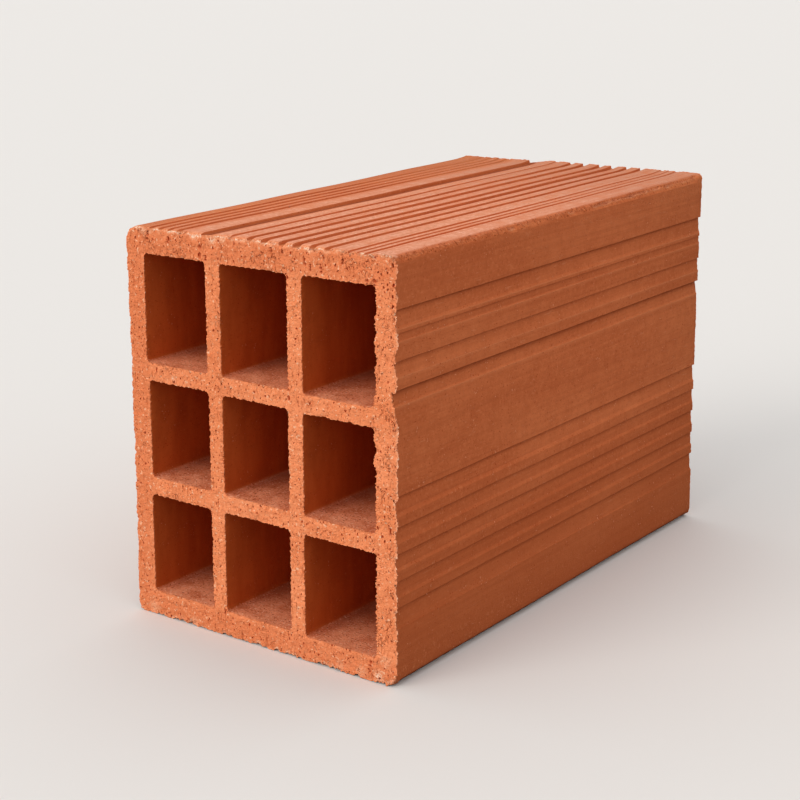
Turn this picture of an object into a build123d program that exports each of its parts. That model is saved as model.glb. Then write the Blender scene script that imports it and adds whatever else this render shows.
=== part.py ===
from build123d import *
import os

# Hollow clay brick, one extruded, wire-cut and fired piece, lying with its cells level.
# Three columns and three rows of rectangular cells run through its whole length, and its
# four long faces are combed with grooves that key mortar and plaster.
# X is the width, Y the length along the cells and Z the height, in millimetres.
# The origin is on the ground, at the middle of the face that the brick lies on.

# Outer size
width = 152.5
height = 190.0
length = 280.0

# Roundings of the four long edges: the top left one is worn and the top right one sharper
edge_radius = 4.5
worn_edge_radius = 8.0
sharp_edge_radius = 3.0

# The tall side faces sank in at mid-height as the clay dried, all but a strip at each edge
side_bow = 0.5
straight_strip = 10.0

# Shells between the cells and the outer faces
left_shell = 12.1
right_shell = 10.4
top_shell = 13.7
bottom_shell = 12.3

# Cells: the top row is taller and the left column narrower, and the others share the rest
columns = 3
rows = 3
left_cell_width = 36.2
top_cell_height = 51.2
column_web = 8.4
row_web = 9.2
cell_radius = 2.0

# Top face: a band at its left lies a little lower than the rest and falls away to the left
# edge. Beside it the surface drops at a steep wall and rises again on a long slope.
band_width = 46.3
band_level = 0.6
band_fall = 0.4
drop_depth = 2.0
drop_slope = 14.0

# Grooves, each as the place of its steep lip, the width of its mouth and its depth.
# From the left edge of the top face, in the band:
band_grooves = [(14.6, 2.9, 0.7), (20.4, 2.6, 0.7), (26.0, 2.6, 0.7), (31.5, 3.1, 0.7)]
# From the right edge of the top face, the comb and the fine lines beside the edge:
comb_grooves = [
    (89.1, 3.0, 0.7),
    (79.7, 3.4, 1.1),
    (71.7, 4.0, 1.4),
    (61.7, 3.8, 1.4),
    (54.2, 4.6, 1.5),
    (45.0, 3.3, 1.2),
    (36.7, 3.2, 1.1),
    (24.3, 2.4, 0.7),
    (19.6, 1.9, 0.5),
    (15.6, 2.4, 0.7),
]
# Down from the top edge of the right face:
upper_side_grooves = [
    (22.5, 8.9, 1.2),
    (32.7, 4.0, 0.6),
    (44.6, 7.4, 0.8),
    (57.0, 7.9, 1.5),
    (60.0, 14.0, 0.4),
]
# Up from the bottom edge of the right face:
lower_side_grooves = [
    (86.4, 9.2, 1.1),
    (72.7, 7.5, 0.9),
    (60.7, 7.9, 1.0),
    (48.4, 7.6, 0.9),
    (36.4, 9.8, 1.0),
]
# The left face has the same grooves, worn shallow
left_groove_depth = 0.5

# Bottom face: a plain comb of like grooves, from its left edge
bottom_groove_inset = 13.2
bottom_groove_pitch = 10.6
bottom_groove_mouth = 2.4
bottom_groove_depth = 1.2

# Shape of a groove: the run of its steep wall for each millimetre of depth, and the run of
# the slope on its other side as a share of its mouth. In the tall side faces that slope is
# shorter, and the floor rises towards it by a share of the groove's depth.
steep_run = 0.25
slope_share = 0.35
side_slope_share = 0.18
side_floor_rise = 0.4

# How far a cutting outline runs out past the face it cuts
overcut = 2.0

# Where the brick's faces lie, and the size of the cells that share what is left
left = -width / 2
right = width / 2
band_top = height - band_level
other_cell_width = (
    width - left_shell - right_shell - left_cell_width - column_web * (columns - 1)
) / (columns - 1)
other_cell_height = (
    height - top_shell - bottom_shell - top_cell_height - row_web * (rows - 1)
) / (rows - 1)


def groove(lip, mouth, depth, face_level=0.0, slope=slope_share, rise=0.0):
    """Section of one groove in a face that lies along X, with the air above it.

    It has a steep wall at its lip, then a floor that is flat or rises by a share of the depth,
    and a slope up to the far end of its mouth.
    """
    floor_level = face_level - depth
    Polygon(
        (lip, face_level + overcut),
        (lip, face_level),
        (lip + steep_run * depth, floor_level),
        (lip + mouth * (1 - slope), floor_level + rise * depth),
        (lip + mouth, face_level),
        (lip + mouth, face_level + overcut),
        align=None,
    )


def bow_at(distance):
    """How far a side face lies inside its edges, at this distance down from its top."""
    from_middle = (distance - height / 2) / (height / 2 - straight_strip)
    return side_bow * max(0.0, 1 - from_middle**2)


def side_groove(lip, mouth, depth):
    """Section of one groove in a tall side face, with its own slope and rising floor."""
    groove(lip, mouth, depth, -bow_at(lip), side_slope_share, side_floor_rise)


side_grooves = upper_side_grooves + [
    (height - lip, mouth, depth) for lip, mouth, depth in lower_side_grooves
]

# Grooves of the top face, drawn from its left edge with its highest part at zero
with BuildSketch() as top_cuts:
    for lip, mouth, depth in band_grooves:
        groove(lip, mouth, depth, -band_level - band_fall * (1 - lip / band_width))
    for inset, mouth, depth in comb_grooves:
        groove(width - inset, mouth, depth)
    Polygon(
        (band_width, overcut),
        (band_width, -band_level),
        (band_width + steep_run * drop_depth, -band_level - drop_depth),
        (band_width + drop_slope, 0),
        (band_width + drop_slope, overcut),
        align=None,
    )

# Grooves of the right face, drawn down from its top edge with their steep walls uppermost
with BuildSketch() as right_cuts:
    for lip, mouth, depth in side_grooves:
        side_groove(lip, mouth, depth)

# Grooves of the left face, drawn in the same way and then turned over
with BuildSketch() as left_cuts:
    for lip, mouth, _ in side_grooves:
        side_groove(lip, mouth, left_groove_depth)

# Grooves of the bottom face, drawn from its right edge because the air is under it
bottom_groove_count = int((width - 2 * bottom_groove_inset) // bottom_groove_pitch) + 1
with BuildSketch() as bottom_cuts:
    for number in range(bottom_groove_count):
        from_left = bottom_groove_inset + number * bottom_groove_pitch
        groove(width - from_left - bottom_groove_mouth, bottom_groove_mouth, bottom_groove_depth)

# The cells, each drawn from its lower left corner
with BuildSketch() as cells:
    cell_left = left + left_shell
    for column in range(columns):
        cell_width = left_cell_width if column == 0 else other_cell_width
        cell_bottom = bottom_shell
        for row in range(rows):
            cell_height = top_cell_height if row == rows - 1 else other_cell_height
            with Locations((cell_left, cell_bottom)):
                Rectangle(cell_width, cell_height, align=(Align.MIN, Align.MIN))
            cell_bottom += cell_height + row_web
        cell_left += cell_width + column_web
    fillet(cells.vertices(), radius=cell_radius)

# The brick: its section, seen along the cells, drawn out to both ends
with BuildPart() as brick:
    with BuildSketch(Plane.XZ) as section:
        with BuildLine():
            Polyline((left, straight_strip), (left, 0), (right, 0), (right, straight_strip))
            ThreePointArc(
                (right, straight_strip),
                (right - side_bow, height / 2),
                (right, height - straight_strip),
            )
            Polyline(
                (right, height - straight_strip),
                (right, height),
                (left + band_width, height),
                (left + band_width, band_top),
                (left, band_top - band_fall),
                (left, height - straight_strip),
            )
            ThreePointArc(
                (left, height - straight_strip),
                (left + side_bow, height / 2),
                (left, straight_strip),
            )
        make_face()
        left_corners = section.vertices().group_by(Axis.X)[0].sort_by(Axis.Y)
        right_corners = section.vertices().group_by(Axis.X)[-1].sort_by(Axis.Y)
        fillet([left_corners[0], right_corners[0]], radius=edge_radius)
        top_left_corner = section.vertices().group_by(Axis.X)[0].sort_by(Axis.Y)[-1]
        fillet(top_left_corner, radius=worn_edge_radius)
        top_right_corner = section.vertices().group_by(Axis.X)[-1].sort_by(Axis.Y)[-1]
        fillet(top_right_corner, radius=sharp_edge_radius)
        with Locations((left, height)):
            add(top_cuts.sketch, mode=Mode.SUBTRACT)
        with Locations(Location((right, height), -90)):
            add(right_cuts.sketch, mode=Mode.SUBTRACT)
        with Locations(Location((left, height), -90)):
            add(mirror(left_cuts.sketch, about=Plane.XZ, mode=Mode.PRIVATE), mode=Mode.SUBTRACT)
        with Locations(Location((right, 0), 180)):
            add(bottom_cuts.sketch, mode=Mode.SUBTRACT)
        add(cells.sketch, mode=Mode.SUBTRACT)
    extrude(amount=length / 2, both=True)

brick.part.label = "brick"
os.makedirs("parts", exist_ok=True)
export_step(brick.part, "parts/brick.step")
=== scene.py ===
import math

import bpy
import numpy as np
from mathutils import Matrix, Vector, kdtree, noise
from mathutils.geometry import delaunay_2d_cdt


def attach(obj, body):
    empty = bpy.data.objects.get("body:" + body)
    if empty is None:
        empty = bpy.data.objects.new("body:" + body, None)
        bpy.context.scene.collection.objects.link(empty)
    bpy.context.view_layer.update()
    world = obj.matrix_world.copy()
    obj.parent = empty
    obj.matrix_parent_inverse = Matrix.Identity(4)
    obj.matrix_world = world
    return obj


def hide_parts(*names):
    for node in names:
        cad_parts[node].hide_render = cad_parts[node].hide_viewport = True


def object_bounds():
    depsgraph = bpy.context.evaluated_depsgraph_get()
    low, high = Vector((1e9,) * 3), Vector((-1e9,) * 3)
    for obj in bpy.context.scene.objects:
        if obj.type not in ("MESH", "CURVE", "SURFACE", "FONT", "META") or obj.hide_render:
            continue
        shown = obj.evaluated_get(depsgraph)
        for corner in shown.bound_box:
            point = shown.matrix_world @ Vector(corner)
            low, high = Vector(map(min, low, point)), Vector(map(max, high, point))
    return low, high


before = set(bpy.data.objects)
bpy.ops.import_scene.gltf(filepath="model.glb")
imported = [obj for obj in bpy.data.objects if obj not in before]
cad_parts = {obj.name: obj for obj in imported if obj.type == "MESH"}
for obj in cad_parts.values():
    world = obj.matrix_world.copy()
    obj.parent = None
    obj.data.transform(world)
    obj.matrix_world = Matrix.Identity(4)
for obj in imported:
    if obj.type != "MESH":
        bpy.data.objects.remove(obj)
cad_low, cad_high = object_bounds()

# The brick is built in millimetres, in the frame's axes, and made into metres at the end.
MM = 0.001
RANDOM_SEED = 9

# Outer size, from the frame
low = np.array(cad_low) / MM
high = np.array(cad_high) / MM
WIDTH, LENGTH, HEIGHT = high - low
LEFT, RIGHT = low[0], high[0]
FRONT, BACK = low[1], high[1]

# Spacing of the mesh round the section: on flat faces, in cells and at the long edges
FACE_STEP = 3.4
CELL_STEP = 6.0
CORNER_STEP = 0.9
CORNER_REACH = 4.5

# Outline of the section: its sampling, and how it turns at a sharp corner, at the foot of a
# groove's wall and, at most, at a groove's rim
SAMPLE_STEP = 0.4
SHARP_TURN = math.radians(8)
FOOT_TURN = math.radians(-30)
RIM_TURN = math.radians(50)

# Height of a groove's wall that gives the full painted shade in its crease
FULL_WALL = 1.6

# Spacing of the mesh along the brick. A long edge has several rows to each row of a face.
FACE_ROW_STEP = 4.6
CELL_ROW_STEP = 10.5
EDGE_ROWS = 3

# Wire-cut ends: how far their rings lie behind the cut, and how much each one crumbles
RING_DEPTHS = (0.0, 0.35, 0.9, 1.8, 3.2)
RING_SHARES = (1.0, 0.72, 0.34, 0.1, 0.0)
FRONT_STEP = 0.7
BACK_STEP = 1.5
FRONT_GRID = 1.0
BACK_GRID = 2.4
GRID_JITTER = 0.3

# Pits of the front: how many to a square millimetre, their distance from the outlines and
# from each other, and their sizes, of which small ones are the most common
PIT_DENSITY = 0.07
PIT_MARGIN = 0.7
PIT_GAP = 0.5
PIT_TRIES = 4
SMALLEST_PIT = 0.24
PIT_SPREAD = 0.6
PIT_POWER = 0.45
PIT_NARROWING = (0.3, 0.8)
NARROWEST_PIT = 0.17
PIT_LEAN = 32
PIT_DEPTHS = (0.25, 0.7)
CRACK_DEPTH = 0.8
PIT_RIM_POINTS = 7
PIT_FLOOR_POINTS = 4

# Teeth that the wire left in the cut edges, and how much of them is at the back and the left
TOOTH_SIZE = 1.0
TOOTH_NOISE = 0.22
TOOTH_CHANCE = 0.26
BACK_TEETH = 0.5
LEFT_TEETH = 0.6

# The strip at the right of the front that the wire tore, and how much deeper its teeth are
TORN_WIDTH = 14
TORN_FADE = 3.0
TORN_TEETH = 0.8
CELL_TEETH = 1.6

# Bites out of the front's edge, each kind with its spacing and its ranges of reach and depth
SMALL_BITES = (13.0, (0.6, 1.6), (0.3, 0.75))
RIGHT_BITES = (16.0, (0.8, 2.0), (0.3, 0.8))
BOTTOM_BITES = (4.4, (0.8, 2.4), (0.7, 2.6))

# The corner that broke off at the bottom right of the front
CORNER_BREAK = 4.5
CORNER_BREAK_DEPTH = 2.2

# Wear of the front top edge: places from the left edge, and how far it is worn down there
WEAR_PLACES = (0, 3, 6, 12, 38, 42, 46, 50, 55, 100, 106, 112, 125, 143, 150)
WEAR_DEPTHS = (1.5, 1.9, 1.2, 0.8, 0.9, 1.5, 1.0, 2.2, 1.1, 0.9, 1.5, 0.9, 0.4, -0.1, 0.1)

# How far the sides of each cell lie from the plain section: the left and right side to the
# right, the top and bottom up. The cells go from the top row down, and from left to right.
CELL_MOVES = (
    ((-1.3, -0.1, 0.3, -0.2), (-0.1, -0.2, 0.2, -0.4), (-0.5, 0.0, 0.3, -1.0)),
    ((-0.2, 0.3, 0.5, 0.5), (0.0, -0.4, 0.2, 0.2), (-0.6, 0.0, -0.4, -0.3)),
    ((-0.9, 0.2, 1.0, -0.2), (-0.3, -0.4, 1.0, -0.1), (-0.8, 0.0, 0.2, -0.7)),
)

# Burrs that the wire pulled out at the right of the front, by height, and at the back top edge
BURR_HEIGHTS = (10, 35, 90, 150, 170, 186)
RIGHT_BURRS = (0.8, 1.2, 1.7, 1.3, 1.4, 1.6)
BACK_BURR = 0.8
BACK_BURR_REACH = 14.0

# Grooves of the top that close towards the back: places from the left edge, and the share
# of a groove's depth that is filled there. The first ones are those of the left band, whose
# level lies BAND_LEVEL below the top. The closing starts, and grows, over shares of the length.
CLOSING_PLACES = (43, 44, 61, 62, 68, 69, 126, 127, 142, 143)
CLOSING_SHARES = (0.85, 0.0, 0.0, 0.4, 0.4, 0.0, 0.0, 0.45, 0.45, 0.0)
BAND_REACH = 43.0
BAND_LEVEL = 0.95
CLOSING_START = 0.3
CLOSING_RUN = 0.5

# Strips between the top grooves: how far below the top they end, and the height they fade over
STRIP_SINK = 1.1
STRIP_FADE = 0.4

# How dark the painted shade in the creases of the top grooves is, as a share of that of the
# sides
TOP_CREASE_SHADE = 0.3

# The drop beside the band: its place from the left edge, and how much of its depth is open
# at these distances from the front
DROP_START = 46.5
DROP_END = 60.3
DROP_PLACES = (40, 140)
DROP_SHARES = (0.6, 0.8)

# How dark the painted shade in the drop is at these shares of its width
SHADE_PLACES = (0, 0.08, 0.29, 0.5)
DROP_SHADES = (0, 1, 1, 0)

# Cells: how far in their walls reach their darkest painted shade
CELL_FADE = 45.0

# The floor, just under the brick: half its size and its level in metres, its colour as it is
# seen, and a darker one for the light that it throws back
FLOOR_REACH = 30.0
FLOOR_LEVEL = -0.0002
FLOOR_COLOUR = (0.8, 0.79, 0.78)
FLOOR_BOUNCE = (0.17, 0.16, 0.15)

# Cracks of the front, each as its place, half length, half width and lean in degrees
CRACKS = (
    (-62.6, 185.0, 2.6, 0.28, 2),
    (-49.7, 184.3, 2.4, 0.3, -4),
    (-30.9, 182.0, 5.6, 0.22, 3),
    (-27.5, 178.6, 2.0, 0.35, -2),
    (10.7, 186.4, 1.5, 0.3, 12),
    (16.8, 186.2, 1.3, 0.4, -10),
    (28.9, 183.4, 2.6, 0.25, 14),
    (32.0, 180.6, 1.6, 0.3, -8),
    (37.5, 180.5, 2.6, 0.22, 2),
    (49.1, 185.2, 2.0, 0.45, -6),
    (62.0, 177.8, 2.4, 0.28, 0),
    (65.6, 178.1, 2.6, 0.3, 3),
    (19.0, 173.6, 3.8, 0.3, 0),
    (19.0, 123.6, 5.0, 0.28, 0),
    (-49.4, 117.0, 1.8, 0.5, 30),
    (73.2, 71.5, 3.0, 0.5, 14),
    (-21.0, 12.0, 2.0, 0.35, 0),
    (62.6, 8.2, 2.4, 0.24, -8),
    (74.9, 186.2, 1.2, 0.6, 20),
    (75.2, 178.0, 1.1, 0.55, -15),
    (74.9, 173.2, 0.9, 0.6, 10),
    (74.8, 168.8, 1.2, 0.5, -10),
    (70.4, 176.6, 0.9, 0.45, 25),
    (72.5, 175.9, 0.7, 0.4, -30),
    (67.5, 182.6, 0.9, 0.45, -40),
    (69.2, 181.9, 0.7, 0.4, 40),
)

# Pale chips of the front, each as its place, reach and how pale it is. The palest get the white
# of a painted highlight.
CHIPS = (
    (-65.0, 188.2, 3.2, 0.8),
    (-60.5, 187.8, 1.8, 0.9),
    (-34.2, 187.9, 2.4, 0.8),
    (-23.4, 187.0, 2.6, 1.0),
    (-17.5, 187.6, 1.8, 0.7),
    (-49.5, 119.3, 1.6, 0.9),
    (-66.0, 3.2, 3.4, 0.5),
    (-40.0, 2.4, 2.2, 0.5),
    (46.0, 3.0, 2.4, 0.45),
    (58.0, 3.4, 2.8, 0.5),
    (67.0, 3.4, 3.4, 0.9),
    (70.5, 11.0, 3.0, 0.5),
)


def smooth_noise(points, size, seed):
    """Perlin noise between about -1 and 1 at each point, with features of this size."""
    shift = Vector((seed * 17.3, seed * -5.9, seed * 11.1))
    return np.array([noise.noise(Vector(p) / size + shift) for p in points])


def add_object(name, data):
    thing = bpy.data.objects.new(name, data)
    bpy.context.scene.collection.objects.link(thing)
    return thing


def cross(first, second):
    """Cross products of vectors in the plane, row by row."""
    return first[:, 0] * second[:, 1] - first[:, 1] * second[:, 0]


def turns(before, after):
    """Angle from each side of an outline to the next one, positive for a turn to the left."""
    return np.arctan2(cross(before, after), (before * after).sum(axis=1))


def in_space(plan, y):
    """Points in space, from the (x, z) places of a plan and their y."""
    return np.column_stack([plan[:, 0], np.broadcast_to(y, len(plan)), plan[:, 1]])


def section_outlines(node):
    """Outlines of the brick's section, read from the front end of its CAD solid.

    Each is a closed run of (x, z) points with the clay on its left, seen from the front.
    """
    mesh = node.data
    spots = np.array([v.co for v in mesh.vertices]) / MM
    names = [tuple(np.round(p, 3) + 0.0) for p in spots]
    shared = set()
    for polygon in mesh.polygons:
        corners = [names[i] for i in polygon.vertices]
        if any(abs(c[1] - FRONT) > 0.01 for c in corners):
            continue
        for a, b in zip(corners, corners[1:] + corners[:1]):
            if (b, a) in shared:
                shared.discard((b, a))
            else:
                shared.add((a, b))
    following = dict(shared)
    outlines = []
    while following:
        start, here = next(iter(sorted(following.items())))
        outline = [start]
        del following[start]
        while here != start:
            outline.append(here)
            here = following.pop(here)
        outlines.append(np.array([(p[0], p[2]) for p in outline]))
    return sorted(outlines, key=lambda o: -np.ptp(o[:, 0]))


def split_sides(outline, step):
    """Adds points to a closed outline so that no side is longer than step.

    Returns the new outline and the places of the old points in it.
    """
    points, kept = [], []
    for a, b in zip(outline, np.roll(outline, -1, axis=0)):
        count = max(1, math.ceil(np.linalg.norm(b - a) / step - 1e-6))
        kept.append(len(points))
        points.extend(a + (b - a) * k / count for k in range(count))
    return np.array(points), np.array(kept)


def corner_distance(points, outline):
    """Distance from each point to the nearest corner of the box round an outline."""
    box_low, box_high = outline.min(axis=0), outline.max(axis=0)
    gap = np.minimum(points - box_low, box_high - points)
    return np.hypot(gap[:, 0], gap[:, 1])


def resample(outline, face_step):
    """The sharp corners of an outline and evenly spaced points between them.

    The points lie face_step apart, and closer together near the corners of its box.
    """
    samples, _ = split_sides(outline, SAMPLE_STEP)
    before = samples - np.roll(samples, 1, axis=0)
    after = np.roll(samples, -1, axis=0) - samples
    sharp = np.flatnonzero(np.abs(turns(before, after)) > SHARP_TURN)
    if len(sharp) == 0:
        sharp = np.array([0])
    samples = np.roll(samples, -sharp[0], axis=0)
    sharp = sharp - sharp[0]
    points = []
    for first, last in zip(sharp, [*sharp[1:], len(samples)]):
        run = samples[np.arange(first, last + 1) % len(samples)]
        middle = (run[1:] + run[:-1]) / 2
        near = corner_distance(middle, outline) < CORNER_REACH
        step = np.where(near, CORNER_STEP, face_step)
        weight = np.linalg.norm(np.diff(run, axis=0), axis=1) / step
        reach = np.concatenate([[0], np.cumsum(weight)])
        count = max(1, math.ceil(reach[-1] - 0.05))
        at = np.arange(count) / count * reach[-1]
        points.append(np.column_stack([np.interp(at, reach, run[:, k]) for k in (0, 1)]))
    return np.concatenate(points)


def groove_marks(outline):
    """How much each point of an outline is the foot of a groove's wall, which gets painted
    shade, and how much it is its far rim.
    """
    before = outline - np.roll(outline, 1, axis=0)
    after = np.roll(before, -1, axis=0)
    turn = turns(before, after)
    wall = np.minimum(np.linalg.norm(before, axis=1), np.linalg.norm(after, axis=1))
    on_side = np.minimum(outline[:, 0] - LEFT, RIGHT - outline[:, 0]) < 3
    # the foot of a steep wall gets painted shade, stronger for taller walls
    crease = np.where(turn < FOOT_TURN, np.clip(wall / FULL_WALL, 0, 1), 0.0)
    crease *= np.where(on_side, 1.0, TOP_CREASE_SHADE)
    inland = corner_distance(outline, outline) > 6
    ridge = (turn > SHARP_TURN) & (turn < RIM_TURN) & inland
    return crease, ridge.astype(float)


def top_marks(outline):
    """How much each point lies on a raised strip of the top, and how much painted shade it gets
    in the drop beside its band.
    """
    x, z = outline.T
    strip = np.clip((z - (HEIGHT - STRIP_SINK)) / STRIP_FADE, 0, 1)
    reach = (x - LEFT - DROP_START) / (DROP_END - DROP_START)
    in_drop = (reach > 0.0) & (reach < 1.05)
    drop = np.interp(reach, SHADE_PLACES, DROP_SHADES) * (z > HEIGHT - 3.5)
    rising = np.clip((reach - 0.3) / 0.25, 0, 1)
    return np.where(in_drop, rising, strip), drop


def outline_marks(outline, is_outer):
    """The marks of the outer section's points by name, all zero for those of a cell."""
    names = ("crease", "ridge", "plateau", "drop")
    if not is_outer:
        return {name: np.zeros(len(outline)) for name in names}
    return dict(zip(names, (*groove_marks(outline), *top_marks(outline))))


def air_side(outline):
    """Unit directions that point out of the clay, at each point of an outline."""
    along = np.roll(outline, -1, axis=0) - np.roll(outline, 1, axis=0)
    along /= np.linalg.norm(along, axis=1)[:, None]
    return np.column_stack([along[:, 1], -along[:, 0]])


def moved_cell(outline):
    """The outline of a cell with its sides moved to where they lie in the fired brick."""
    cell_low, cell_high = outline.min(axis=0), outline.max(axis=0)
    middle = (cell_low + cell_high) / 2
    column = int((middle[0] - LEFT) / WIDTH * len(CELL_MOVES[0]))
    row = int((HEIGHT - middle[1]) / HEIGHT * len(CELL_MOVES))
    left, right, top, bottom = CELL_MOVES[row][column]
    share = (outline - cell_low) / (cell_high - cell_low)
    across = left + (right - left) * share[:, 0]
    up = bottom + (top - bottom) * share[:, 1]
    return outline + np.column_stack([across, up])


def crumbling_side(outline):
    """Directions against which the cut edge crumbles, out of the clay.

    They point straight up on the top, so that its grooves keep their width.
    """
    outward = air_side(outline)
    x, z = outline.T
    on_top = (z > HEIGHT - 3.2) & (x > LEFT + 8) & (x < RIGHT - 4)
    outward[on_top] = (0.0, 1.0)
    return outward


class Boundary:
    """The outlines of one cut end, for distances and for telling clay from air."""

    def __init__(self, rings):
        self.starts = np.concatenate(rings)
        self.ends = np.concatenate([np.roll(ring, -1, axis=0) for ring in rings])
        self.tree = kdtree.KDTree(len(self.starts))
        for number, (x, z) in enumerate(self.starts):
            self.tree.insert((x, z, 0.0), number)
        self.tree.balance()

    def distance(self, points):
        return np.array([self.tree.find((x, z, 0.0))[2] for x, z in points])

    def inside(self, points):
        """Even-odd test of each point against the outlines."""
        found = np.empty(len(points), bool)
        run = self.ends - self.starts
        rise = np.where(run[:, 1] == 0, 1.0, run[:, 1])
        for first in range(0, len(points), 2000):
            x, z = points[first : first + 2000].T[..., None]
            crosses = (self.starts[:, 1] > z) != (self.ends[:, 1] > z)
            cross_x = self.starts[:, 0] + (z - self.starts[:, 1]) / rise * run[:, 0]
            found[first : first + 2000] = (crosses & (cross_x > x)).sum(axis=1) % 2 == 1
        return found


class BrickMesh:
    """Gathers the points and faces of the whole brick before they become one mesh."""

    LAYERS = ("cut", "pit", "pale", "rim", "cell", "crease", "ridge", "plateau", "drop")

    def __init__(self):
        self.points = []
        self.faces = []
        self.layers = {name: [] for name in self.LAYERS}

    def add_points(self, points, **values):
        first = len(self.points)
        count = len(points)
        self.points.extend(points)
        for name in self.LAYERS:
            self.layers[name].extend(np.broadcast_to(values.get(name, 0.0), count))
        return np.arange(first, first + count)

    def add_band(self, ring, next_ring):
        """Quads between two rings with as many points, the second one further back."""
        ends = np.roll(ring, -1), np.roll(next_ring, -1)
        self.faces.extend(np.column_stack([ring, next_ring, ends[1], ends[0]]).tolist())

    def add_fan(self, fine, near, far, turned):
        """Triangles between a run of points and the one long side that faces it."""
        half = (len(fine) - 1) // 2
        for k, (a, b) in enumerate(zip(fine, fine[1:])):
            corner = near if k < half else far
            self.faces.append([b, corner, a] if turned else [a, corner, b])
        middle = fine[half]
        self.faces.append([far, near, middle] if turned else [middle, near, far])

    def add_fan_band(self, fine, kept, coarse, turned):
        """Triangles between a fine ring and a coarse one that has some of its points."""
        closed = [*fine, fine[0]]
        stops = [*kept[1:], len(fine)]
        for number, (start, stop) in enumerate(zip(kept, stops)):
            far = coarse[(number + 1) % len(coarse)]
            self.add_fan(closed[start : stop + 1], coarse[number], far, turned)


def cut_share(depth, is_outer):
    """One on fresh cut clay, and zero where the skin or a cell's own wall begins."""
    reach = 0.9 if is_outer else 0.6
    return 1 - min(1.0, depth / reach) ** 2


def cell_share(depth):
    """Zero at the cut edge of a cell and one deep inside it."""
    return min(1.0, 0.1 + depth / CELL_FADE) if depth > 0.2 else 0.0


def filled_drop(flat, depth):
    """Lifts the floor of the drop beside the top's left band, where dust has filled it."""
    in_drop = (flat[:, 0] > LEFT + DROP_START) & (flat[:, 0] < LEFT + DROP_END)
    sunk = np.where(in_drop & (flat[:, 1] > HEIGHT - 3), HEIGHT - flat[:, 1], 0.0)
    flat[:, 1] += sunk * (1 - np.interp(depth, DROP_PLACES, DROP_SHARES))


def groove_filling(flat, depth):
    """How far the grooves of the top are filled at this depth behind the front."""
    x, z = flat[:, 0] - LEFT, flat[:, 1]
    level = np.where(x < BAND_REACH, HEIGHT - BAND_LEVEL, HEIGHT)
    sunk = np.where(z > HEIGHT - 2.4, np.clip(level - z, 0, 2), 0.0)
    closing = np.clip((depth / LENGTH - CLOSING_START) / CLOSING_RUN, 0, 1)
    return sunk * np.interp(x, CLOSING_PLACES, CLOSING_SHARES) * closing


def back_burr(plan, from_back):
    """How far the skin of the top is pulled up at this distance from the back end."""
    lift = np.clip(1 - from_back / BACK_BURR_REACH, 0, 1) ** 2
    return np.where(plan[:, 1] > HEIGHT - 3, BACK_BURR * lift, 0.0)


def row_depths(step):
    """Depths of the coarse rings behind the front end, evenly spaced between the fine ones."""
    first = RING_DEPTHS[-1] + 1.8
    count = round((LENGTH - 2 * first) / step)
    return np.linspace(first, LENGTH - first, count + 1)


def bare_crumbs(plan, seed):
    """How much fresh clay, whitened by a painted highlight where it is palest, shows at points
    along the worn front top edge.
    """
    return np.clip(smooth_noise(in_space(plan, 0.0), 4.0, seed + 9) * 1.6 + 0.6, 0, 1)


def random_bites(outline, rng, spacing, reach, depth):
    """Bites taken out of an outline at random: how deep each of its points is bitten."""
    sides = np.linalg.norm(np.roll(outline, -1, axis=0) - outline, axis=1)
    place = np.concatenate([[0], np.cumsum(sides)[:-1]])
    whole = sides.sum()
    bitten = np.zeros(len(outline))
    for _ in range(round(whole / spacing)):
        gap = np.abs(place - rng.uniform(0, whole))
        gap = np.minimum(gap, whole - gap)
        share = np.clip(1 - gap / rng.uniform(*reach), 0, 1)
        bitten = np.maximum(bitten, share**0.7 * rng.uniform(*depth))
    return bitten


def crumbled(outline, end_place, is_outer, rng, seed):
    """How far the cut edge of an outline has crumbled back at each of its points.

    The strips between the top grooves are worn more than the grooves.
    """
    spots = in_space(outline, end_place)
    teeth = smooth_noise(spots, TOOTH_SIZE, seed) * TOOTH_NOISE
    teeth += rng.uniform(-TOOTH_CHANCE, TOOTH_CHANCE, len(outline))
    if end_place == BACK:
        return teeth * BACK_TEETH
    x, z = outline.T
    torn = np.clip((x - (RIGHT - TORN_WIDTH)) / TORN_FADE, 0, 1)
    teeth *= np.where(x < LEFT + 2, LEFT_TEETH, 1 + TORN_TEETH * torn)
    teeth *= np.where(air_side(outline)[:, 0] > 0.7, 1.0 if is_outer else CELL_TEETH, 1.0)
    back = 0.08 + teeth + random_bites(outline, rng, *SMALL_BITES)
    back += smooth_noise(spots, 6.0, seed + 7) * 1.6 * torn * (z > HEIGHT / 2)
    if not is_outer:
        return back
    back += np.clip(CORNER_BREAK - np.hypot(x - RIGHT, z), 0, CORNER_BREAK_DEPTH)
    on_right = np.clip((x - (RIGHT - 2.2)) / 1.0, 0, 1) * ((z > 6) & (z < HEIGHT - 3))
    back -= np.interp(z, BURR_HEIGHTS, RIGHT_BURRS) * on_right
    back += random_bites(outline, rng, *RIGHT_BITES) * on_right
    upward = np.clip(crumbling_side(outline)[:, 1], 0, 1)
    near_top = np.clip((z - HEIGHT + 2.6) / 1.8, 0, 1)
    wear = np.interp(x - LEFT, WEAR_PLACES, WEAR_DEPTHS) * near_top
    back += wear * upward * (0.4 + 0.6 * top_marks(outline)[0])
    bitten = random_bites(outline, rng, *BOTTOM_BITES)
    back += np.where(z < 0.1, bitten, 0.0)
    smeared = np.clip(smooth_noise(spots, 16.0, seed + 2) * 2 + 0.7, 0, 1)
    back -= np.where((z > 0.1) & (z < 1.5), z * smeared, 0.0)
    return back


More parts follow.
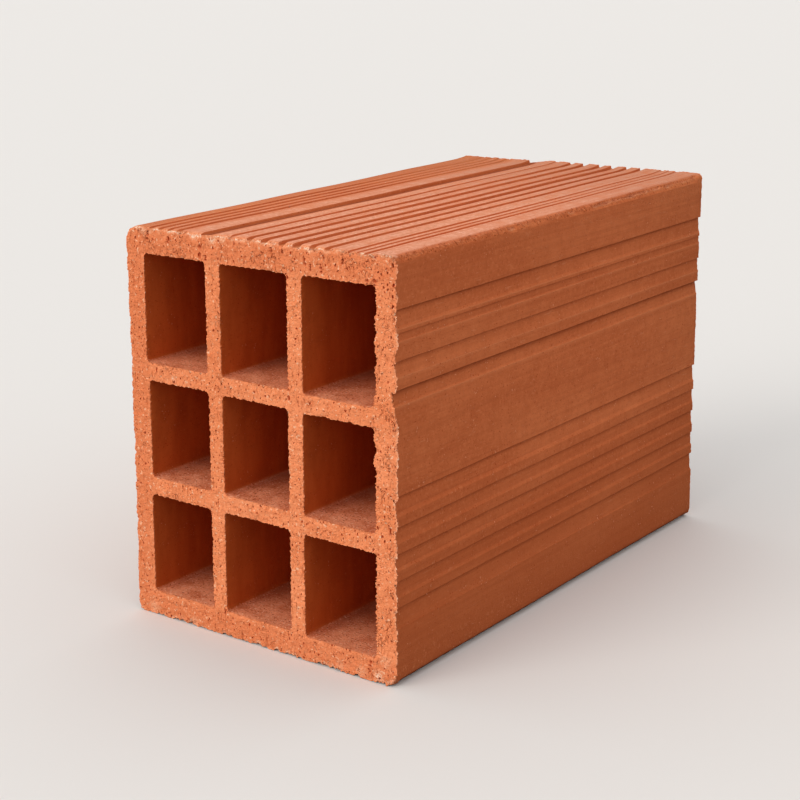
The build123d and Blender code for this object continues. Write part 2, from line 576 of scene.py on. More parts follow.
def edge_chips(points, closeness, bottom, seed):
    """How far the long edges are chipped away, at points with this closeness to an edge."""
    grains = np.clip(smooth_noise(points, 2.2, seed), 0, 1) * 1.1
    bites = np.clip(smooth_noise(points, 8.0, seed + 1) - 0.02, 0, 1) * 2.0
    waves = smooth_noise(points, 30.0, seed + 2) * 0.8
    worn = np.interp(points[:, 1], (-20, 60), (0.2, 1.0)) * (points[:, 0] > 0)
    chips = grains + bites + np.where(bottom, waves + bites * 0.6 + 1.0, bites * 0.4 + worn)
    return chips * closeness


def build_rows(brick, coarse, row_step, is_outer, seed):
    """The long faces of one outline between its fine end rings. Returns first and last row."""
    depths = row_depths(row_step)
    fine_rows = np.arange((len(depths) - 1) * EDGE_ROWS + 1) / EDGE_ROWS
    tall = np.interp(fine_rows, np.arange(len(depths)), depths)
    outward = air_side(coarse)
    gap = corner_distance(coarse, coarse)
    closeness = np.clip(1 - (gap - 0.9) / 2.4, 0, 1) if is_outer else np.zeros(len(coarse))
    fine_column = closeness > 0
    bottom = coarse[:, 1] < HEIGHT / 2
    marks = outline_marks(coarse, is_outer)
    ids = np.full((len(tall), len(coarse)), -1)
    for row, depth in enumerate(tall):
        in_row = fine_column | (row % EDGE_ROWS == 0)
        columns = np.flatnonzero(in_row)
        if len(columns) == 0:
            continue
        plan = coarse[columns]
        spots = in_space(plan, FRONT + depth)
        push = smooth_noise(spots, 45.0, seed + 3) * 0.2
        chipped = np.zeros(len(plan))
        edge = closeness[columns] > 0
        if edge.any():
            chipped[edge] = edge_chips(
                spots[edge], closeness[columns][edge], bottom[columns][edge], seed + 5
            )
        flat = plan + outward[columns] * (push - chipped)[:, None]
        if is_outer:
            filled_drop(flat, depth)
            flat[:, 1] += groove_filling(plan, depth)
            flat[:, 1] += back_burr(plan, LENGTH - depth)
        ids[row, columns] = brick.add_points(
            in_space(flat, spots[:, 1]),
            rim=closeness[columns],
            cell=0.0 if is_outer else cell_share(min(depth, LENGTH - depth)),
            pale=np.clip(chipped * 1.2 - 1.0, 0, 0.5),
            **{name: mark[columns] for name, mark in marks.items()},
        )
    for column in range(len(coarse)):
        beside = (column + 1) % len(coarse)
        both = fine_column[column], fine_column[beside]
        step = 1 if all(both) else EDGE_ROWS
        for row in range(0, len(tall) - 1, step):
            a, b = ids[row, column], ids[row + step, column]
            d, c = ids[row, beside], ids[row + step, beside]
            if both == (True, False):
                brick.add_fan(ids[row : row + step + 1, column], d, c, True)
            elif both == (False, True):
                brick.add_fan(ids[row : row + step + 1, beside], a, b, False)
            else:
                brick.faces.append([a, b, c, d])
    return ids[0], ids[-1]


def build_walls(brick, outline, face_step, row_step, is_outer, rng, seed):
    """The faces along the brick that belong to one outline. Returns its two end rings."""
    coarse = resample(outline, face_step)
    first_row, last_row = build_rows(brick, coarse, row_step, is_outer, seed)
    end_rings = []
    for place, toward, step in ((FRONT, 1.0, FRONT_STEP), (BACK, -1.0, BACK_STEP)):
        fine, kept = split_sides(coarse, step)
        stops = [*kept, len(fine)]
        marks = {
            name: np.interp(np.arange(len(fine)), stops, [*mark, mark[0]])
            for name, mark in outline_marks(coarse, is_outer).items()
        }
        outward = crumbling_side(fine)
        crumble = crumbled(fine, place, is_outer, rng, seed)
        chip = np.clip(np.abs(crumble) * 1.1 - 0.6, 0, 0.8) * is_outer
        if is_outer and place == FRONT:
            on_edge = (fine[:, 1] > HEIGHT - 2.3) & (air_side(fine)[:, 1] > 0.5)
            chip = np.maximum(chip, bare_crumbs(fine, seed) * on_edge)
        rings = []
        for depth, share in zip(RING_DEPTHS, RING_SHARES):
            flat = fine - outward * (crumble * share)[:, None]
            if is_outer:
                filled_drop(flat, depth if place == FRONT else LENGTH)
            if is_outer and place == BACK:
                flat[:, 1] += back_burr(fine, depth)
                flat[:, 1] += groove_filling(fine, LENGTH - depth)
            y = np.full(len(fine), place + toward * depth)
            if depth == 0.0:
                y += toward * (0.1 + 0.3 * np.clip(crumble, 0, 1))
                y += rng.uniform(-0.12, 0.12, len(fine))
            rings.append(
                brick.add_points(
                    in_space(flat, y),
                    cut=cut_share(depth, is_outer),
                    rim=max(0.0, 1 - depth / 1.5) * is_outer,
                    cell=0.0 if is_outer else cell_share(depth),
                    pale=chip * share**0.6,
                    **marks,
                )
            )
        for ring, next_ring in zip(rings, rings[1:]):
            brick.add_band(*((ring, next_ring) if toward > 0 else (next_ring, ring)))
        row = first_row if toward > 0 else last_row
        brick.add_fan_band(rings[-1], kept, row, toward < 0)
        end_rings.append(rings[0])
    return end_rings


def clay_area(rings):
    """Area between the outer ring and those of the cells, which run the other way round."""
    area = 0.0
    for ring in rings:
        area += cross(ring, np.roll(ring, -1, axis=0)).sum() / 2
    return area


def scatter_pits(rng, boundary, count):
    """Pits of a cut end, each as its centre, half length, half width, lean and depth."""
    spots = rng.uniform((LEFT, low[2]), (RIGHT, high[2]), (count * PIT_TRIES, 2))
    fits = boundary.inside(spots) & (boundary.distance(spots) > PIT_MARGIN)
    pits = [
        (np.array([x, z]), long_half, narrow_half, math.radians(90 + lean), CRACK_DEPTH)
        for x, z, long_half, narrow_half, lean in CRACKS
    ]
    for spot in spots[fits]:
        if len(pits) >= count:
            break
        half = SMALLEST_PIT + PIT_SPREAD * rng.power(PIT_POWER)
        clear = all(
            abs(spot[0] - other[0][0]) + abs(spot[1] - other[0][1]) > half + other[1] + PIT_GAP
            for other in pits
        )
        if clear:
            narrow = max(half * rng.uniform(*PIT_NARROWING), NARROWEST_PIT)
            lean = math.radians(90 + rng.normal(0, PIT_LEAN))
            pits.append((spot, half, narrow, lean, rng.uniform(*PIT_DEPTHS)))
    return pits


def blob(centre, long_half, narrow_half, lean, count, rng, turn=0.0):
    """A roughly elliptical ring of points."""
    angles = np.arange(count) * 2 * math.pi / count + turn
    wobble = rng.uniform(0.8, 1.2, count)
    x = long_half * wobble * np.cos(angles)
    z = narrow_half * wobble * np.sin(angles)
    c, s = math.cos(lean), math.sin(lean)
    return centre + np.column_stack([x * c - z * s, x * s + z * c])


def clear_of_pits(points, pits, margin):
    """Which points lie outside every pit by about this margin."""
    clear = np.ones(len(points), bool)
    for centre, long_half, narrow_half, lean, _ in pits:
        gap = points - centre
        near = np.abs(gap).max(axis=1) < long_half + margin
        c, s = math.cos(lean), math.sin(lean)
        along = (gap[near, 0] * c + gap[near, 1] * s) / (long_half * 1.2 + margin)
        across = (-gap[near, 0] * s + gap[near, 1] * c) / (narrow_half * 1.2 + margin)
        clear[near] &= np.hypot(along, across) > 1
    return clear


def build_end(brick, rings, toward, grid_step, rng, seed):
    """One wire-cut end of the brick: its face with pits, joined to the rings of the walls."""
    edge_ids = np.concatenate(rings)
    starts = np.array([brick.points[i] for i in edge_ids])[:, (0, 2)]
    ring_plans, sides, first = [], [], 0
    for ring in rings:
        places = np.arange(first, first + len(ring))
        sides.append(np.column_stack([places, np.roll(places, -1)]))
        ring_plans.append(starts[places])
        first += len(ring)
    sides = np.concatenate(sides)
    boundary = Boundary(ring_plans)

    flat, sink, pit_shades, pits = [], [], [], []
    if toward > 0:
        pits = scatter_pits(rng, boundary, int(clay_area(ring_plans) * PIT_DENSITY))
    for centre, half, narrow, lean, depth in pits:
        flat.append(blob(centre, half, narrow, lean, PIT_RIM_POINTS, rng))
        sink.append(np.zeros(PIT_RIM_POINTS))
        pit_shades.append(np.zeros(PIT_RIM_POINTS))
        flat.append(blob(centre, half * 0.6, narrow * 0.5, lean, PIT_FLOOR_POINTS, rng, 0.4))
        sink.append(np.full(PIT_FLOOR_POINTS, depth))
        # painted shade on the pits' floors, darker for deeper pits
        pit_shades.append(np.full(PIT_FLOOR_POINTS, 0.35 + depth * 0.8))

    grid_x = np.arange(LEFT, RIGHT, grid_step)
    grid_z = np.arange(low[2], high[2], grid_step * 0.87)
    grid = np.array(
        [(x + (row % 2) * grid_step / 2, z) for row, z in enumerate(grid_z) for x in grid_x]
    )
    grid += rng.uniform(-GRID_JITTER, GRID_JITTER, grid.shape) * grid_step
    grid = grid[boundary.distance(grid) > grid_step * 0.45]
    grid = grid[boundary.inside(grid)]
    grid = grid[clear_of_pits(grid, pits, 0.25)]

    inner = np.concatenate([*flat, grid])
    inner_sink = np.concatenate([*sink, rng.normal(0, 0.09, len(grid))])
    inner_pit_shades = np.concatenate([*pit_shades, np.zeros(len(grid))])
    fits = boundary.distance(inner) > 0.2
    in_pits = len(inner) - len(grid)
    fits[:in_pits] &= boundary.inside(inner[:in_pits])
    inner, inner_sink, inner_pit_shades = inner[fits], inner_sink[fits], inner_pit_shades[fits]

    distance = boundary.distance(inner)
    spots = in_space(inner, toward * 80.0)
    relief = smooth_noise(spots, 38.0, seed) * 0.25 + smooth_noise(spots, 3.0, seed + 1) * 0.32
    drag = smooth_noise(spots * (1.0, 1.0, 0.15), 1.9, seed + 2) * 0.16
    rounding = np.clip(1 - distance / 1.1, 0, 1) ** 2 * 0.2
    end_place = FRONT if toward > 0 else BACK
    y = end_place + toward * (0.1 + inner_sink + relief + drag + rounding)
    pale = np.zeros(len(inner))
    if toward > 0:
        for x, z, reach, most in CHIPS:
            gap = np.hypot(inner[:, 0] - x, inner[:, 1] - z)
            pale = np.maximum(pale, np.clip(1.2 - gap / reach, 0, most))
        near_top = np.clip(1 - distance / 1.3, 0, 1) * (inner[:, 1] > HEIGHT - 4)
        pale = np.maximum(pale, bare_crumbs(inner, 0) * near_top)
    inner_ids = brick.add_points(
        in_space(inner, y),
        cut=1.0,
        pit=inner_pit_shades,
        rim=np.clip(1 - distance / 1.2, 0, 1),
        pale=pale,
    )

    ids = np.concatenate([edge_ids, inner_ids])
    plan = np.concatenate([starts, inner])
    found = delaunay_2d_cdt([Vector(p) for p in plan], sides.tolist(), [], 0, 1e-7, True)
    # Where the crumbled outline crosses itself, points are added. Their triangles are left
    # out, so that a few small gaps stay there.
    places = [sources[0] if sources else -1 for sources in found[3]]
    if min(places) < 0 or len(places) != len(plan):
        print("cut end: outline points were merged or added", len(places), len(plan))
    triangles = np.array([[places[k] for k in face] for face in found[2]])
    triangles = triangles[(triangles >= 0).all(axis=1)]
    rim_only = (triangles < len(edge_ids)).all(axis=1)
    keep = np.ones(len(triangles), bool)
    keep[rim_only] = boundary.inside(plan[triangles[rim_only]].mean(axis=1))
    triangles = triangles[keep]
    a, b, c = plan[triangles[:, 0]], plan[triangles[:, 1]], plan[triangles[:, 2]]
    wrong = (cross(b - a, c - a) < 0) == (toward > 0)
    triangles[wrong] = triangles[wrong][:, ::-1]
    brick.faces.extend(ids[triangles].tolist())


def build_brick(node):
    rng = np.random.default_rng(RANDOM_SEED)
    brick = BrickMesh()
    front_rings, back_rings = [], []
    for number, outline in enumerate(section_outlines(node)):
        is_outer = number == 0
        if not is_outer:
            outline = moved_cell(outline)
        steps = (FACE_STEP, FACE_ROW_STEP) if is_outer else (CELL_STEP, CELL_ROW_STEP)
        front, back = build_walls(brick, outline, *steps, is_outer, rng, number * 10)
        front_rings.append(front)
        back_rings.append(back)
    build_end(brick, front_rings, 1.0, FRONT_GRID, rng, 100)
    build_end(brick, back_rings, -1.0, BACK_GRID, rng, 200)

    mesh = bpy.data.meshes.new("brick_body")
    mesh.from_pydata((np.array(brick.points) * MM).tolist(), [], brick.faces)
    for name, numbers in brick.layers.items():
        values = mesh.attributes.new(name, "FLOAT", "POINT")
        values.data.foreach_set("value", np.array(numbers, np.float32))
    mesh.polygons.foreach_set("use_smooth", [True] * len(mesh.polygons))
    mesh.set_sharp_from_angle(angle=math.radians(17))
    print("brick triangles", sum(len(f) - 2 for f in brick.faces))
    return add_object("brick_body", mesh)


class NodeSheet:
    """Short ways to add shader nodes to one material."""

    def __init__(self, tree):
        self.tree = tree

    def add(self, kind, **settings):
        node = self.tree.nodes.new("ShaderNode" + kind)
        for name, value in settings.items():
            setattr(node, name, value)
        return node

    def link(self, source, target):
        self.tree.links.new(source, target)

    def feed(self, socket, value):
        """Gives a socket a number or a colour, or links another socket to it."""
        if isinstance(value, (int, float)):
            socket.default_value = value
        elif isinstance(value, tuple):
            socket.default_value = (*value, 1.0)
        else:
            self.link(value, socket)

    def attribute(self, name):
        return self.add("Attribute", attribute_name=name).outputs["Fac"]

    def noise(self, place, scale, detail=3.0, roughness=0.55):
        node = self.add("TexNoise")
        node.inputs["Scale"].default_value = scale
        node.inputs["Detail"].default_value = detail
        node.inputs["Roughness"].default_value = roughness
        self.link(place, node.inputs["Vector"])
        return node.outputs["Fac"]

    def stretch(self, place, scale, turn=(0.0, 0.0, 0.0)):
        node = self.add("Mapping")
        node.inputs["Scale"].default_value = scale
        node.inputs["Rotation"].default_value = turn
        self.link(place, node.inputs["Vector"])
        return node.outputs["Vector"]

    def ramp(self, value, start, stop, to_start=0.0, to_stop=1.0):
        node = self.add("MapRange")
        for socket, limit in zip(node.inputs, (value, start, stop, to_start, to_stop)):
            self.feed(socket, limit)
        return node.outputs["Result"]

    def math(self, operation, first, second=0.0):
        node = self.add("Math", operation=operation)
        self.feed(node.inputs[0], first)
        self.feed(node.inputs[1], second)
        return node.outputs["Value"]

    def times(self, first, second):
        return self.math("MULTIPLY", first, second)

    def most(self, first, second):
        return self.math("MAXIMUM", first, second)

    def mix(self, share, first, second, blend="MIX"):
        node = self.add("Mix", data_type="RGBA", blend_type=blend)
        for number, value in ((0, share), (6, first), (7, second)):
            self.feed(node.inputs[number], value)
        return node.outputs[2]

    def overlay(self, colour, coats):
        """A colour under several others, each given with how much of it shows."""
        for share, coat in coats:
            colour = self.mix(share, colour, coat)
        return colour


# Colours of the clay, in linear light. First the skin that the die left:
SKIN_DEEP = (0.62, 0.15, 0.05)
SKIN_WARM = (0.73, 0.198, 0.07)
SKIN_PATCH = (0.55, 0.124, 0.038)
SKIN_GRAIN = (0.82, 0.262, 0.104)
SKIN_DARK = (0.46, 0.098, 0.03)
SKIN_HAIR = (0.74, 0.25, 0.11)
SKIN_SCRATCH = (0.78, 0.29, 0.14)
SKIN_LOW = (0.42, 0.09, 0.026)
# Painted contact shadow along the foot of the brick
FOOT_PAINTED_SHADOW = (0.07, 0.02, 0.009)
# Painted highlight along the far rims of the side grooves
CREST_PAINTED_HIGHLIGHT = (0.84, 0.29, 0.125)
SKIN_FLECK = (0.8, 0.27, 0.115)
SKIN_NICK = (0.38, 0.075, 0.022)
# Painted shade in the creases at the foot of the grooves' walls
CREASE_SHADE_COLOUR = (0.18, 0.018, 0.001)

# The dust on the top, which also carries a painted sheen, the painted shade of its drop, and
# tints that the skin is multiplied by, of which the furrows' one is painted shade
DUST_SHEEN_DARK = (0.71, 0.297, 0.176)
DUST_SHEEN_LIGHT = (0.94, 0.464, 0.314)
DUST_SHEEN_AGED = (0.63, 0.284, 0.182)
# Painted shade in the drop beside the top's left band
DROP_SHADE_COLOUR = (0.2, 0.02, 0.0)
# Painted shade on the floors of the top's furrows
FURROW_SHADE_TINT = (0.86, 0.98, 1.0)
FAR_TINT = (0.9, 0.93, 0.94)

# The walls of the cells, with painted shade that darkens them further in, and the floors,
# painted lighter as painted light
SHADED_CELL_LIGHT = (0.55, 0.094, 0.016)
SHADED_CELL_DARK = (0.45, 0.068, 0.012)
MOUTH_LIGHT = (0.62, 0.134, 0.029)
MOUTH_DARK = (0.54, 0.106, 0.021)
CELL_PATCH = (0.33, 0.048, 0.009)
CELL_GRAIN = (0.62, 0.145, 0.036)
LEDGE_LIGHT = (0.94, 0.348, 0.182)
LEDGE_DARK = (0.7, 0.201, 0.09)
LEDGE_GRAIN = (0.6, 0.165, 0.08)
LEDGE_PIT_SHADE = (0.3, 0.06, 0.022)
LEDGE_SPECK = (0.98, 0.52, 0.34)
LEDGE_DEEP_SHADE = (0.4, 0.095, 0.036)

# The face that the wire cut
FACE_DARK = (0.89, 0.271, 0.111)
FACE_LIGHT = (0.97, 0.323, 0.144)
FACE_SHELL = (0.78, 0.213, 0.085)
FACE_PATCH = (0.81, 0.212, 0.079)
FACE_GRAIN = (0.67, 0.118, 0.026)
FACE_PALE = (0.98, 0.41, 0.21)
FACE_DRAG = (0.6, 0.092, 0.016)
FACE_TEAR_SHADE = (0.42, 0.028, 0.0)
FACE_SLIT_SHADE = (0.42, 0.022, 0.0)
FACE_FINE = (0.99, 0.48, 0.28)
FACE_CRUMB = (1.0, 0.56, 0.35)

# Grains, pits and chips, which lie over all of these. The dark colours of pits, holes and slits
# are painted shade, and the whitest chips carry a painted highlight.
RIM_GRAIN = (0.97, 0.45, 0.25)
LOOSE_GRAIN = (0.92, 0.42, 0.24)
HOLE_SHADE = (0.34, 0.022, 0.0)
EDGE_PIT_SHADE = (0.27, 0.04, 0.005)
WORN_EDGE = (0.36, 0.07, 0.022)
CHIP_PALE = (0.98, 0.5, 0.3)
CHIP_WHITE_HIGHLIGHT = (1.0, 0.8, 0.62)
PIT_SHADE_COLOUR = (0.34, 0.02, 0.0)

# Depth of the bump that stands for relief finer than the mesh
BUMP_DEPTH = 0.7 * MM


class ClaySheet(NodeSheet):
    """The sheet of the clay, with the places, marks and patterns that its parts share."""

    def __init__(self, tree):
        super().__init__(tree)
        place = self.add("TexCoord").outputs["Object"]
        self.place = place
        spot = self.add("SeparateXYZ")
        self.link(place, spot.inputs[0])
        self.x, self.y, self.z = spot.outputs
        facing = self.add("SeparateXYZ")
        self.link(self.add("NewGeometry").outputs["Normal"], facing.inputs[0])
        self.upward = self.ramp(facing.outputs["Z"], 0.5, 0.9)

        # Each layer of the mesh is a mark with the same name here
        for name in BrickMesh.LAYERS:
            setattr(self, name, self.attribute(name))

        self.blotches = self.noise(self.stretch(place, (1.0, 0.3, 1.0)), 30, 4)
        self.patches = self.noise(place, 120, 4, 0.6)
        self.grain = self.noise(place, 520, 4, 0.7)
        self.fine = self.noise(place, 1500, 2, 0.6)
        self.lines = self.noise(self.stretch(place, (1.0, 0.012, 1.0)), 420, 4, 0.6)
        self.hairs = self.noise(self.stretch(place, (1.0, 0.03, 1.0)), 1500, 2)
        self.drag = self.noise(self.stretch(place, (1.0, 1.0, 0.22)), 700, 3, 0.6)
        self.specks = self.noise(place, 1050, 1, 0.5)
        self.crumbs = self.noise(place, 760, 1, 0.5)

        # The rims of the grooves, and where the skin is scuffed: there and near the long edges
        self.crest = self.math("POWER", self.ridge, 4.0)
        sandy = self.math("ABSOLUTE", self.math("SUBTRACT", self.z, HEIGHT * MM / 2))
        sandy = self.ramp(sandy, 0.078, 0.088, 0.25, 0.75)
        self.scuffed = self.times(self.ramp(self.blotches, 0.43, 0.57), sandy)
        self.scuffed = self.most(self.scuffed, self.crest)

        # Tears and slits of the cut face. There are more tears near its top and its right edge.
        self.roof = self.ramp(self.z, HEIGHT * MM - 0.016, HEIGHT * MM - 0.010)
        tears = self.noise(self.stretch(place, (1.0, 1.0, 0.5)), 380, 3, 0.6)
        off_line = self.math("ABSOLUTE", self.math("SUBTRACT", tears, 0.5))
        weak = self.ramp(self.x, RIGHT * MM - 0.013, RIGHT * MM - 0.009)
        weak = self.times(self.most(self.roof, weak), 0.08)
        weak = self.ramp(self.math("ADD", self.patches, weak), 0.6, 0.64)
        self.tear = self.times(self.ramp(off_line, 0.012, 0.004), weak)
        slits = self.noise(self.stretch(place, (1.0, 1.0, 0.55)), 900, 1, 0.5)
        self.slit = self.ramp(slits, 0.31, 0.27)


def die_skin(clay):
    """Skin that the die left, smooth and drawn along the brick, scuffed here and there, darker
    towards the bottom, with a painted contact shadow at its foot and a painted highlight on the
    rims of its grooves.
    """
    slanted = clay.stretch(clay.place, (1.0, 0.2, 1.0), (math.radians(24), 0.0, 0.0))
    scratches = clay.noise(slanted, 620, 3, 0.5)
    flecks = clay.times(clay.scuffed, clay.ramp(clay.grain, 0.54, 0.66))
    nicks = clay.times(clay.scuffed, clay.ramp(clay.grain, 0.4, 0.32))
    coats = (
        (clay.ramp(clay.patches, 0.4, 0.7, 0.0, 0.5), SKIN_PATCH),
        (clay.ramp(clay.grain, 0.46, 0.32, 0.0, 0.42), SKIN_GRAIN),
        (clay.ramp(clay.grain, 0.54, 0.7, 0.0, 0.4), SKIN_DARK),
        (clay.ramp(clay.lines, 0.35, 0.55, 0.25, 0.0), SKIN_DARK),
        (clay.ramp(clay.hairs, 0.62, 0.74, 0.0, 0.2), SKIN_HAIR),
        (clay.ramp(scratches, 0.66, 0.74, 0.0, 0.35), SKIN_SCRATCH),
        # the skin darker towards the bottom of the brick
        (clay.ramp(clay.z, 0.085, 0.0, 0.0, 0.68), SKIN_LOW),
        # painted contact shadow on the lowest 3 mm of the skin, where the brick meets the floor
        (clay.ramp(clay.z, 0.003, 0.0, 0.0, 0.7), FOOT_PAINTED_SHADOW),
        # painted highlight along the far rims of the side grooves
        (clay.times(clay.crest, 0.36), CREST_PAINTED_HIGHLIGHT),
        (clay.times(flecks, 0.65), SKIN_FLECK),
        (clay.times(nicks, 0.65), SKIN_NICK),
    )
    skin = clay.mix(clay.ramp(clay.blotches, 0.35, 0.65), SKIN_DEEP, SKIN_WARM)
    return clay.overlay(skin, coats)


def top_dust_and_sheen(clay, skin):
    """Adds paler dust, together with a painted sheen, on the raised strips of the top, and
    painted shade in its furrows and drop.
    """
    strip = clay.ramp(clay.x, LEFT * MM + 0.036, LEFT * MM + 0.040, 0.45, 1.0)
    strip = clay.most(strip, clay.ramp(clay.y, 0.02, -0.14, 0.0, 0.6))
    # dust on the up-facing raised strips, which also stands for a painted sheen there
    dust = clay.times(clay.upward, clay.ramp(clay.patches, 0.3, 0.65, 0.5, 1.0))
    dust = clay.times(dust, clay.ramp(clay.lines, 0.35, 0.6, 0.6, 1.0))
    dust = clay.times(dust, clay.times(clay.plateau, strip))
    dust = clay.times(dust, clay.ramp(clay.rim, 0.0, 0.5, 1.0, 0.15))
    dust = clay.times(dust, clay.ramp(clay.drop, 0.0, 0.6, 1.0, 0.0))
    dust_and_sheen_colour = clay.mix(clay.ramp(clay.grain, 0.4, 0.66), DUST_SHEEN_DARK, DUST_SHEEN_LIGHT)
    aged = clay.times(clay.ramp(clay.y, -0.04, 0.08), 0.75)
    dust_and_sheen_colour = clay.mix(aged, dust_and_sheen_colour, DUST_SHEEN_AGED)
    # painted shade on the up-facing floors of the top's furrows
    furrow_shade = clay.times(clay.upward, clay.math("SUBTRACT", 1.0, clay.plateau))
    skin = clay.mix(furrow_shade, skin, FURROW_SHADE_TINT, "MULTIPLY")
    # the paler dust and painted sheen laid over the skin
    skin = clay.mix(dust, skin, dust_and_sheen_colour)
    # painted shade in the drop beside the left band
    skin = clay.mix(clay.times(clay.drop, 0.9), skin, DROP_SHADE_COLOUR)
    far = clay.math("POWER", clay.ramp(clay.y, 0.0, 0.14), 2.0)
    return clay.mix(far, skin, FAR_TINT, "MULTIPLY")


def cell_walls(clay):
    """Walls and floors of the cells, darker further in as painted shade, with up-facing floors
    painted lighter as painted light.
    """
    streaks = clay.noise(clay.stretch(clay.place, (1.0, 1.0, 0.25)), 130, 3, 0.5)
    streaked = clay.ramp(streaks, 0.35, 0.65)
    mouth = clay.mix(streaked, MOUTH_LIGHT, MOUTH_DARK)
    # painted shade: the walls go from the mouth's colours to darker ones further in
    inside = clay.mix(clay.cell, mouth, clay.mix(streaked, SHADED_CELL_LIGHT, SHADED_CELL_DARK))
    wall_coats = (
        (clay.ramp(clay.patches, 0.52, 0.66, 0.0, 0.2), CELL_PATCH),
        (clay.ramp(clay.grain, 0.42, 0.32, 0.0, 0.4), CELL_GRAIN),
    )
    lit_ledge = clay.mix(clay.ramp(clay.patches, 0.38, 0.62), LEDGE_LIGHT, LEDGE_DARK)
    lit_ledge_coats = (
        (clay.ramp(clay.grain, 0.5, 0.68, 0.0, 0.6), LEDGE_GRAIN),
        # painted shade in small pits of the floors
        (clay.ramp(clay.specks, 0.36, 0.3), LEDGE_PIT_SHADE),
        (clay.ramp(clay.specks, 0.62, 0.68), LEDGE_SPECK),
        # painted shade on the floors further in
        (clay.ramp(clay.cell, 0.35, 1.0, 0.0, 0.75), LEDGE_DEEP_SHADE),
    )
    inside = clay.overlay(inside, wall_coats)
    lit_ledge = clay.overlay(lit_ledge, lit_ledge_coats)
    # up-facing floors get the lighter ledge colours: painted light
    return clay.mix(clay.times(clay.upward, 0.9), inside, lit_ledge)


def cut_face(clay):
    """Face that the wire cut, with tears and slits darkened by painted shade, drag marks and
    paler grains.
    """
    shell = clay.ramp(clay.x, LEFT * MM + 0.014, LEFT * MM + 0.008)
    shell = clay.most(shell, clay.ramp(clay.z, 0.014, 0.009))
    shell = clay.most(shell, clay.roof)
    coats = (
        (clay.times(shell, 0.6), FACE_SHELL),
        (clay.ramp(clay.patches, 0.42, 0.7, 0.0, 0.35), FACE_PATCH),
        (clay.ramp(clay.grain, 0.55, 0.72, 0.0, 0.45), FACE_GRAIN),
        (clay.ramp(clay.grain, 0.43, 0.3, 0.0, 0.6), FACE_PALE),
        (clay.ramp(clay.drag, 0.56, 0.7, 0.0, 0.4), FACE_DRAG),
        # painted shade in the tears and slits
        (clay.times(clay.tear, 0.85), FACE_TEAR_SHADE),
        (clay.times(clay.slit, 0.95), FACE_SLIT_SHADE),
        (clay.ramp(clay.fine, 0.62, 0.7, 0.0, 0.4), FACE_FINE),
        (clay.ramp(clay.crumbs, 0.66, 0.71, 0.0, 0.8), FACE_CRUMB),
    )
    face = clay.mix(clay.ramp(clay.blotches, 0.35, 0.65), FACE_DARK, FACE_LIGHT)
    return clay.overlay(face, coats)


def grains_and_pits(clay, colour):
    """Adds the grains, the painted shade of pits and creases, worn edges and pale chips, the
    whitest with a painted highlight, that lie over the rest.
    """
    open_air = clay.ramp(clay.cell, 0.0, 1.0, 1.0, 0.25)
    grains = clay.times(clay.ramp(clay.specks, 0.57, 0.66), clay.ramp(clay.rim, 0.2, 1.0))
    grains = clay.times(grains, clay.ramp(clay.cut, 0.0, 1.0, 0.25, 0.8))
    clustered = clay.times(open_air, clay.ramp(clay.patches, 0.54, 0.6))
    loose = clay.times(clay.ramp(clay.specks, 0.68, 0.73), clustered)
    # painted shade in tiny holes
    holes = clay.ramp(clay.specks, 0.26, 0.31, 0.6, 0.0)
    near_edge = clay.ramp(clay.rim, 0.05, 0.4)
    # painted shade in small pits near the edges
    edge_pits = clay.times(clay.ramp(clay.crumbs, 0.37, 0.32), near_edge)
    edge_pits = clay.times(edge_pits, clay.ramp(clay.cut, 0.0, 0.4, 0.85, 0.0))
    worn = clay.times(clay.rim, clay.ramp(clay.cut, 0.0, 0.4, 1.0, 0.0))
    worn = clay.times(worn, clay.ramp(clay.grain, 0.5, 0.62, 0.0, 0.75))
    chips = clay.times(clay.pale, clay.ramp(clay.fine, 0.42, 0.52))
    chips = clay.times(chips, clay.ramp(clay.cut, 0.0, 1.0, 0.6, 1.0))
    # the palest chips turn white: a painted highlight
    chip_colour = clay.mix(clay.ramp(clay.pale, 0.6, 1.0), CHIP_PALE, CHIP_WHITE_HIGHLIGHT)
    # painted shade in the creases under the grooves' lips
    painted_crease_shade = clay.times(clay.math("POWER", clay.crease, 1.5), 0.68)
    coats = (
        (grains, RIM_GRAIN),
        (clay.times(loose, 0.6), LOOSE_GRAIN),
        (holes, HOLE_SHADE),
        (clay.times(edge_pits, open_air), EDGE_PIT_SHADE),
        (clay.times(worn, open_air), WORN_EDGE),
        (chips, chip_colour),
        # painted shade in the pits of the front
        (clay.times(clay.pit, 0.95), PIT_SHADE_COLOUR),
        (painted_crease_shade, CREASE_SHADE_COLOUR),
    )
    return clay.overlay(colour, coats)


def fine_relief(clay):
    """Height of the relief that is finer than the mesh, as a share of the bump's depth."""
    rough = clay.math("ADD", clay.times(clay.grain, 0.65), clay.times(clay.fine, 0.35))
    rough = clay.math("SUBTRACT", rough, 0.5)
    bare = clay.most(clay.rim, clay.times(clay.scuffed, 0.6))
    bare = clay.most(clay.cut, clay.times(bare, 0.6))
    rough = clay.times(rough, clay.ramp(bare, 0.0, 1.0, 0.3, 2.4))
    drawn = clay.math("SUBTRACT", clay.lines, 0.5)
    drawn = clay.times(drawn, clay.ramp(clay.cut, 0.0, 1.0, 0.3, 0.0))
    drawn = clay.math("ADD", drawn, clay.times(clay.hairs, 0.1))
    sunk = clay.most(clay.tear, clay.slit)
    sunk = clay.most(sunk, clay.ramp(clay.drag, 0.6, 0.72, 0.0, 0.5))
    sunk = clay.times(sunk, clay.times(clay.cut, -1.0))
    return clay.math("ADD", clay.math("ADD", rough, drawn), sunk)


